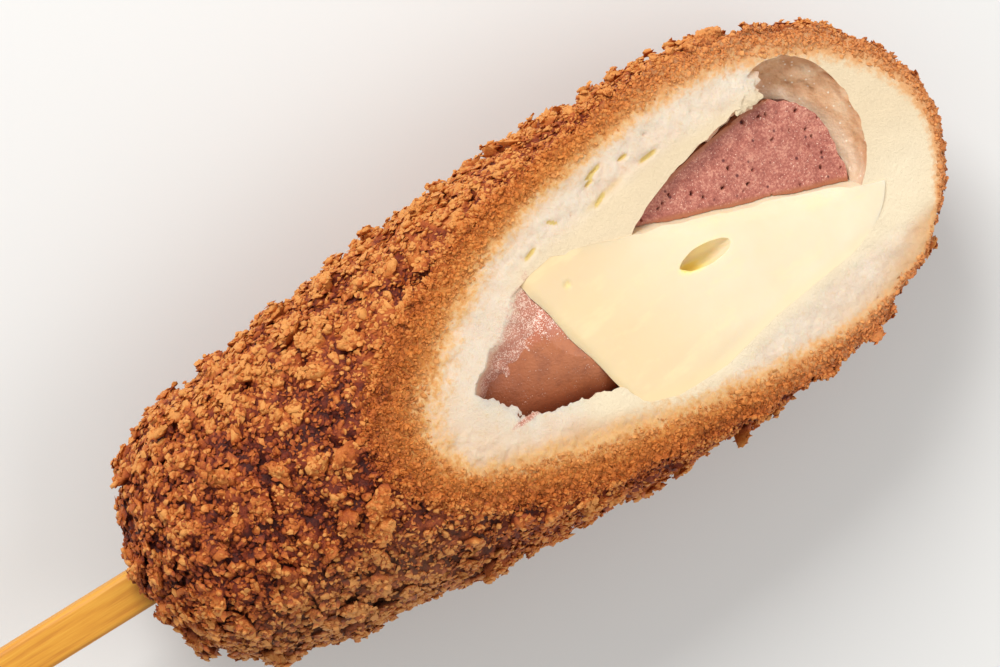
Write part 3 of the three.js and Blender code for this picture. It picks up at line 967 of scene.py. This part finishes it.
def large_crumbs():
    """The crumbs that the solids carry, at the same places but rougher, and some flatter ones."""
    draw = Draw(SEED)
    rows = []
    number = 0
    while len(rows) < FLAKE_COUNT and number < 4 * FLAKE_COUNT:
        x = float(along_outline(0.06 + 0.89 * ((number * SPREAD_ALONG + draw(0, 0.05)) % 1)))
        angle = 2 * math.pi * number * SPREAD_AROUND + draw(-0.2, 0.2)
        keep = draw()
        radius, rise = float(body_radius(x)), math.cos(angle)
        clear = radius * rise < cut_height(x) - FLAKE_CLEAR and rise > -math.cos(REST_FADE)
        if clear and keep < radius / BODY_RADIUS:
            rows.append([x, -angle, *(draw(*limits) for limits in FLAKE_RANGES)])
        number += 1
    more = np.random.RandomState(SEED)
    x, angle = (values[:FLAT_COUNT] for values in crust_places(4 * FLAT_COUNT, 77, more))
    flat = more.uniform(*np.transpose(FLAT_RANGES), (len(x), len(FLAT_RANGES)))
    rows = np.vstack([rows, np.column_stack([x, angle, flat])])

    x, angle, *_, spin, lean_x, lean_y, lift = rows.T
    size, swell = rows[:, 2:5], rows[:, 5:5 + SWELLS]
    surface, normals = body_surface(x, angle)
    ball, faces = icosphere(3)
    reach = np.where(ball > 0, (size * swell[:, [2, 0, 1]])[:, None], (size * swell[:, [5, 4, 3]])[:, None])
    forms = ball / (np.sum(np.abs(ball / reach) ** 1.4, axis=2) ** (1 / 1.4))[:, :, None] * 0.93
    apart = np.arange(len(rows))[:, None, None] * 13.7
    near, value = cells(((forms + apart) * 1.3).reshape(-1, 3))
    forms = forms * (1.1 + 0.45 * (value - near)).reshape(len(rows), -1, 1)
    ground = surface + normals * (lift - CRUMB_STAND)[:, None]
    turns = upright(normals, spin, lean_x, lean_y)
    return join_crumbs("crumbs_large", ground, normals, turns, forms, faces, more, tones=(0.15, 0.5))


# ---- Materials ----
def colour(red, green, blue):
    """An sRGB colour of 0 to 255 as the linear values that the shader takes."""
    values = [value / 255 for value in (red, green, blue)]
    return tuple(v / 12.92 if v <= 0.04045 else ((v + 0.055) / 1.055) ** 2.4 for v in values) + (1.0,)


class Shader:
    """A node material, with short names for the few kinds of node that it uses. Sizes are in
    millimetres. A string stands for the numbers that store() keeps under that name."""

    def __init__(self, name, **surface):
        self.material = bpy.data.materials.new(name)
        self.material.use_nodes = True
        self.tree = self.material.node_tree
        self.surface = self.tree.nodes["Principled BSDF"]
        self.place = self.tree.nodes.new("ShaderNodeTexCoord").outputs["Object"]
        self.set(**surface)

    def set(self, **surface):
        for key, value in surface.items():
            self.put(self.surface.inputs[key.replace("_", " ")], value)
        return self.material

    def put(self, socket, value):
        if isinstance(value, str):
            value = self.node("Attribute", {}, attribute_name=value).outputs["Fac"]
        if isinstance(value, bpy.types.NodeSocket):
            self.tree.links.new(value, socket)
        else:
            socket.default_value = value

    def node(self, kind, inputs, **settings):
        node = self.tree.nodes.new("ShaderNode" + kind)
        for key, value in settings.items():
            setattr(node, key, value)
        for key, value in inputs.items():
            self.put(node.inputs[key], value)
        return node

    def stretched(self, x, y, z):
        return self.node("VectorMath", {0: self.place, 1: (x, y, z)}, operation="MULTIPLY").outputs[0]

    def noise(self, size, detail=3.0, roughness=0.6, place=None):
        texture = self.node("TexNoise", {"Vector": place or self.place, "Scale": 1000 / size,
                                         "Detail": detail, "Roughness": roughness})
        return texture.outputs["Fac"]

    def uneven(self, size):
        """Noise that is centred on 0."""
        return self.maths("ADD", self.noise(size), -0.5)

    def cells(self, size):
        return self.node("TexVoronoi", {"Vector": self.place, "Scale": 1000 / size}).outputs["Distance"]

    def maths(self, operation, a, b):
        return self.node("Math", {0: a, 1: b}, operation=operation).outputs[0]

    def total(self, *terms):
        """The sum of value times weight."""
        result = None
        for value, weight in terms:
            term = self.maths("MULTIPLY", value, weight)
            result = term if result is None else self.maths("ADD", result, term)
        return result

    def spread(self, value, low, high):
        inputs = {"Value": value, "From Min": low, "From Max": high}
        return self.node("MapRange", inputs, interpolation_type="SMOOTHSTEP").outputs[0]

    def ramp(self, value, *stops):
        node = self.node("ValToRGB", {"Fac": value})
        points = node.color_ramp.elements
        while len(points) < len(stops):
            points.new(0.5)
        for point, (position, tint) in zip(points, stops):
            point.position = position
            point.color = colour(*tint)
        return node.outputs["Color"]

    def mix(self, part, a, b, weight=None):
        """From a to b, as part goes from 0 to 1. A weight makes part smaller."""
        if weight is not None:
            part = self.maths("MULTIPLY", part, weight)
        a, b = (value if isinstance(value, bpy.types.NodeSocket) else colour(*value) for value in (a, b))
        return self.node("Mix", {0: part, 6: a, 7: b}, data_type="RGBA").outputs[2]

    def layers(self, tint, *layers):
        """A tint with layers over it. Each gives its part, its own tint and maybe a weight."""
        for part, over, *weight in layers:
            tint = self.mix(part, tint, over, *weight)
        return tint

    def bump(self, height, depth, before=None):
        inputs = {"Height": height, "Distance": depth * 0.001}
        if before is not None:
            inputs["Normal"] = before
        return self.node("Bump", inputs).outputs["Normal"]

    def soften(self, weight, depth, radius):
        """Light that scatters under the surface."""
        self.set(Subsurface_Weight=weight, Subsurface_Scale=depth * 0.001, Subsurface_Radius=radius)


def crust_material():
    shader = Shader("fried_crust", Roughness=0.5, Specular_IOR_Level=0.3)
    grain = shader.noise(0.4, 4, 0.75)
    # Painted shade: the low side of the body, most of all towards the base end, is painted darker, greyer and
    # with more contrast between the crumbs.
    low = shader.spread("side", -0.2, -0.65)
    painted_shade_low_base = shader.maths("MULTIPLY", low, shader.spread("along", 0.42, 0.22))
    # The level mixes each crumb's own tone and grain with painted light and shade: darker deeper between the
    # crumbs (partly their darker fried colour, partly painted shade), painted shade towards the base end and
    # along the low side, and a painted lit upper side.
    level = shader.total(
        ("tone", 1.0), (shader.spread("depth", 1.0, -1.2), 0.4),
        (shader.maths("MULTIPLY", "tone", painted_shade_low_base), 0.9), (shader.maths("ADD", grain, -0.5), 0.6),
        (shader.uneven(2.5), 0.5), (shader.uneven(12.0), 0.4),
        (shader.spread("along", 0.5, 0.1), -0.13), (painted_shade_low_base, -0.22), (low, -0.03),
        (shader.spread("side", 0.3, 0.85), 0.12))
    golden = shader.layers(
        shader.ramp("rim", (0.0, (206, 112, 38)), (0.45, (222, 136, 58)), (0.9, (246, 186, 112))),
        (shader.spread("along", 0.6, 0.87), (250, 182, 120), 0.5))
    tint = shader.layers(
        shader.ramp(level, (0.13, (64, 14, 6)), (0.4, (122, 43, 14)), (0.63, (176, 84, 31)),
                    (0.85, (206, 116, 48)), (1.0, (226, 152, 78))),
        (shader.spread("below", 1.3, -0.5), golden, 0.7),
        (painted_shade_low_base, (172, 124, 86), 0.25))
    return shader.set(Base_Color=tint, Normal=shader.bump(grain, 0.2))


def dough_material():
    shader = Shader("soft_dough", Roughness=0.7, Specular_IOR_Level=0.3)
    rim = shader.total(("rim", 1.0), (shader.uneven(3.0), 0.5), (shader.uneven(0.8), 1.0))
    cream = shader.ramp(shader.noise(5.0, 4),
                        (0.3, (236, 212, 186)), (0.55, (243, 224, 200)), (0.8, (247, 234, 214)))
    # Painted shade: along the low side, towards the base end, the tan band by the crust is painted further
    # in.
    low = shader.maths("MULTIPLY", shader.spread("side", -0.2, -0.6), shader.spread("along", 0.72, 0.52))
    warm = shader.total(("depth", 1.0), (shader.noise(3.5), 3.0), (low, -5.0))
    stain = shader.total(("stain", 0.9), (shader.uneven(0.7), 0.9))
    # Pale specks in the sausage stain: partly torn white dough, partly painted glints of its moist surface.
    grains = shader.total((shader.noise(0.18, 1), 1.0), (shader.noise(1.1), 0.5))
    pink = shader.layers(shader.mix(shader.noise(1.2), (190, 108, 84), (226, 162, 138)),
                         (shader.spread(grains, 0.76, 0.86), (252, 214, 192)))
    cream = shader.layers(
        shader.mix(shader.spread(warm, 2.0, 8.0), (230, 184, 134), cream),
        (shader.spread(shader.noise(0.9, 3, 0.7), 0.54, 0.7), (234, 200, 154), 0.4),
        # Painted light: beside the cheese the creamy dough is painted lighter on the low side, where it lies
        # in shade.
        ("creamy", shader.mix(shader.spread("side", 0.1, -0.3), (246, 223, 184), (255, 236, 200)), 0.9),
        # Painted shade: just below the cut, the dough's walls are painted warm peach, as dough in shade
        # looks.
        (shader.spread("below", 0.15, 1.0), (240, 192, 158)),
        (shader.spread("pore", 0.08, 0.35), (232, 202, 124)),
        (shader.spread(stain, 0.1, 0.8), pink),
        # Painted shade: deep down in the hollows the dough is painted dark brown.
        (shader.spread("below", 2.5, 5.5), (150, 88, 60)))
    browned = shader.layers(
        shader.ramp(rim, (0.1, (176, 88, 30)), (0.6, (220, 140, 66)), (0.95, (242, 190, 126))),
        (shader.spread("along", 0.6, 0.87), (246, 188, 134), 0.6))
    tint = shader.mix(shader.spread(rim, 0.8, 1.3), browned, cream)
    thin = shader.maths("MAXIMUM", shader.maths("MAXIMUM", "below", "stain"), "creamy")
    shader.soften(shader.total((shader.spread(thin, 0.8, 0.2), 0.35)), 2.0, (1.0, 0.65, 0.4))
    return shader.set(Base_Color=tint, Normal=shader.bump(shader.noise(0.45, 5, 0.8), 0.3))


def lining_material():
    shader = Shader("moist_lining", Roughness=0.28, Coat_Weight=0.4, Coat_Roughness=0.15)
    tint = shader.ramp(shader.noise(3.5, 4),
                       (0.3, (204, 146, 102)), (0.5, (226, 176, 132)), (0.7, (238, 204, 166)))
    tint = shader.mix("pale", tint, (230, 199, 168), 0.8)
    tint = shader.mix(shader.spread(shader.cells(1.1), 0.06, 0.2), (250, 232, 208), tint)
    shader.soften(0.2, 2.0, (1.0, 0.6, 0.35))
    return shader.set(Base_Color=tint, Normal=shader.bump(shader.noise(0.7), 0.2))


def cheese_material():
    shader = Shader("soft_cheese", Roughness=0.38)
    streak = shader.noise(3.0, 3, 0.6, shader.stretched(0.35, 1.0, 1.0))
    tint = shader.layers(
        shader.ramp(shader.noise(14.0),
                    (0.3, (236, 214, 178)), (0.6, (240, 221, 189)), (0.85, (242, 226, 200))),
        ("warm", (233, 206, 160)),
        ("upper", (228, 200, 158), 0.9),
        (shader.spread(streak, 0.52, 0.72), (246, 226, 176), 0.35),
        ("border", (240, 206, 132), 0.2),
        ("hollow", (255, 236, 156)),
        (shader.spread("hollow", 0.6, 1.0), (255, 224, 116)))
    shader.soften(shader.total((shader.spread("border", 0.9, 0.0), 0.35)), 3.0, (1.0, 0.7, 0.4))
    return shader.set(Base_Color=tint, Normal=shader.bump(shader.noise(1.6), 0.04))


def skin_material():
    shader = Shader("sausage_skin", Specular_IOR_Level=0.6)
    blotch = shader.total(("moist", 0.9), (shader.uneven(1.3), 0.9))
    # Light specks: painted glints of the moist skin, thickest where it is moist.
    grains = shader.total((shader.noise(0.18, 1), 1.0), (shader.noise(1.1), 0.5), ("moist", 0.2))
    # Painted shade: the skin is painted darker the further it lies below the cut.
    sink = shader.spread("sink", 0.0, 8.0)
    tint = shader.layers(
        shader.ramp(sink, (0.0, (188, 112, 70)), (0.5, (162, 90, 56)), (1.0, (144, 78, 47))),
        (shader.spread(shader.noise(2.2, 4), 0.4, 0.7), (148, 82, 52), 0.6),
        (shader.spread(blotch, 0.1, 0.9), (192, 112, 84)),
        (shader.spread(grains, 0.98, 1.08), (246, 214, 196)))
    wet = shader.node("MapRange", {"Value": "moist", "To Min": 0.42, "To Max": 0.28}).outputs[0]
    fine = shader.bump(shader.noise(0.35, 2), 0.09)
    return shader.set(Base_Color=tint, Roughness=wet, Normal=shader.bump(shader.noise(0.9), 0.08, fine))


def meat_material():
    shader = Shader("cut_sausage", Roughness=0.5)
    grain = shader.total((shader.noise(0.35, 3, 0.7), 0.6), (shader.noise(1.6, 3), 0.4))
    tint = shader.ramp(grain, (0.36, (146, 72, 58)), (0.5, (180, 104, 86)), (0.62, (214, 146, 122)))
    pits = shader.maths("MINIMUM", shader.cells(2.2), shader.maths("ADD", shader.cells(1.1), 0.06))
    tint = shader.layers(
        shader.mix(shader.spread(pits, 0.06, 0.16), (100, 36, 32), tint),
        (shader.spread(shader.noise(0.25, 1), 0.66, 0.74), (240, 196, 172)),
        # Painted shade: the deeper parts of the pits in the cut face are painted near black.
        ("pit", (84, 26, 24)))
    tint = shader.mix(shader.spread("edge", 0.1, 0.9), (168, 98, 60), tint)
    return shader.set(Base_Color=tint, Normal=shader.bump(shader.noise(0.5, 4, 0.7), 0.1))


def wood_material():
    shader = Shader("planed_bamboo", Roughness=0.5)
    grain = shader.noise(1.0, 3, 0.6, shader.stretched(0.02, 1.6, 1.6))
    tint = shader.ramp(grain, (0.3, (200, 128, 34)), (0.5, (220, 151, 44)), (0.7, (230, 168, 58)))
    return shader.set(Base_Color=tint, Normal=shader.bump(grain, 0.08))


# ---- Camera, lights and floor ----
def view_axes():
    across = np.array([0, math.cos(VIEW_ROLL), -math.sin(VIEW_ROLL)])
    towards = np.array([0, math.sin(VIEW_ROLL), math.cos(VIEW_ROLL)])
    along = np.array([1.0, 0, 0])
    right = math.cos(VIEW_TURN) * along - math.sin(VIEW_TURN) * across
    up = math.sin(VIEW_TURN) * along + math.cos(VIEW_TURN) * across
    return right, up, towards, VIEW_OVER[0] * along + VIEW_OVER[1] * across


def make_camera():
    right, up, towards, middle = view_axes()
    data = bpy.data.cameras.new("camera")
    data.sensor_width = SENSOR
    data.lens = VIEW_SCALE * VIEW_DISTANCE / PICTURE_WIDTH * SENSOR
    data.clip_start, data.clip_end = 0.01, 20
    matrix = np.eye(4)
    matrix[:3, :3] = turned([right, up, towards]).T
    matrix[:3, 3] = to_row(middle + VIEW_DISTANCE * towards)
    camera = add_to_scene("camera", data)
    camera.matrix_world = Matrix(matrix.tolist())
    bpy.context.scene.camera = camera


def make_light(name, direction, distance, size, power):
    """A square soft light that shines on the food."""
    *axes, middle = view_axes()
    away = unit(np.array(direction) @ axes)
    data = bpy.data.lights.new(name, "AREA")
    data.size, data.energy = size, power
    light = add_to_scene(name, data)
    light.location = Vector(to_row(middle + away * distance * 1000))
    light.rotation_euler = Vector(turned(-away)).to_track_quat("-Z", "Y").to_euler()


def make_studio():
    mesh = bpy.data.meshes.new("floor")
    mesh.from_pydata([(-3, -3, 0), (3, -3, 0), (3, 3, 0), (-3, 3, 0)], [], [(0, 1, 2, 3)])
    mesh.materials.append(Shader("pale_floor", Roughness=0.8, Base_Color=colour(226, 225, 222)).material)
    add_to_scene("floor", mesh)
    for light in LIGHTS:
        make_light(*light)
    world = bpy.data.worlds.new("studio")
    world.use_nodes = True
    background = world.node_tree.nodes["Background"]
    background.inputs["Color"].default_value = (1, 1, 1, 1)
    background.inputs["Strength"].default_value = SKY
    bpy.context.scene.world = world
    bpy.context.scene.view_settings.view_transform = "Standard"


# ---- Putting it together ----
MATERIALS = {
    "crust": crust_material(),
    "dough": dough_material(),
    "lining": lining_material(),
    "cheese": cheese_material(),
    "skin": skin_material(),
    "meat": meat_material(),
    "wood": wood_material(),
}
FORMS = {
    "shards": shard_shapes(30, subdivisions=2, seed=SEED + 1, planes=7),
    "grains": shard_shapes(30, subdivisions=1, seed=SEED + 2, planes=4),
    "chips": chip_shapes(60, seed=SEED + 3),
}
dough = make_dough()
make_cheese()
make_lower_sausage()
make_upper_sausage()
finish_piece(paint(stick_form("bamboo_stick", 0.0), "wood"), "stick", crease=60)

bedding = [dough, large_crumbs()]
for kind in BEDDING:
    bedding.append(scatter(surface_tree(bedding), *kind))
tree = surface_tree(bedding)
for kind in TOPPING:
    scatter(tree, *kind)
for kind in RIM_CRUMBS:
    scatter_rim(tree, *kind)

make_camera()
make_studio()
